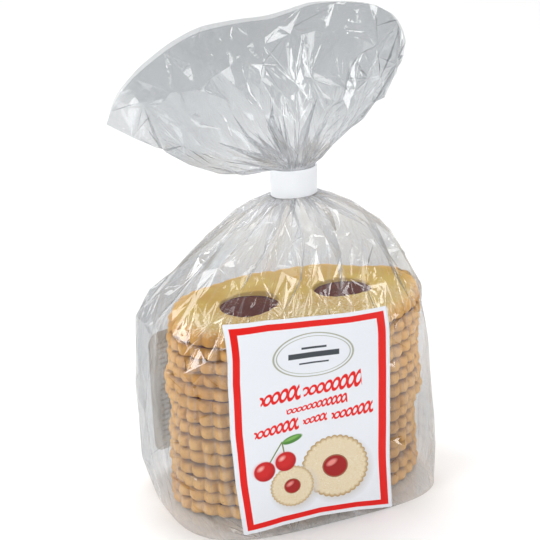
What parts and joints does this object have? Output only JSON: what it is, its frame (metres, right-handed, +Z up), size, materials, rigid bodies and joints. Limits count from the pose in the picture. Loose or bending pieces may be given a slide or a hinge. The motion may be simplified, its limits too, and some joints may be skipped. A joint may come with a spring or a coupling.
{
  "type": "clear bag of jam sandwich cookies",
  "caption": "Clear film bag of stacked oval jam sandwich cookies, gathered and clipped at the neck, with an open flared end and a front label.",
  "frame": {"origin": "middle of the pack's outline seen from above, on the surface that it stands on", "axes": "+X along the cookies' long axis, to the right of the label; -Y towards the label's side; +Z up to the open end of the film"},
  "size_m": [0.1366, 0.084, 0.2109],
  "materials": {
    "film": "glossy, crinkled, see-through",
    "clip_plastic": "satin",
    "label_paper": "satin, printed in red",
    "back_label_paper": "satin, plain grey bars",
    "biscuit": "matte, crumbly, browned at the rim",
    "jam": "gloss"
  },
  "bodies": {
    "root": {"bag": "film", "clip": "clip_plastic", "label": "label_paper", "back_label": "back_label_paper"}
  },
  "joints": []
}
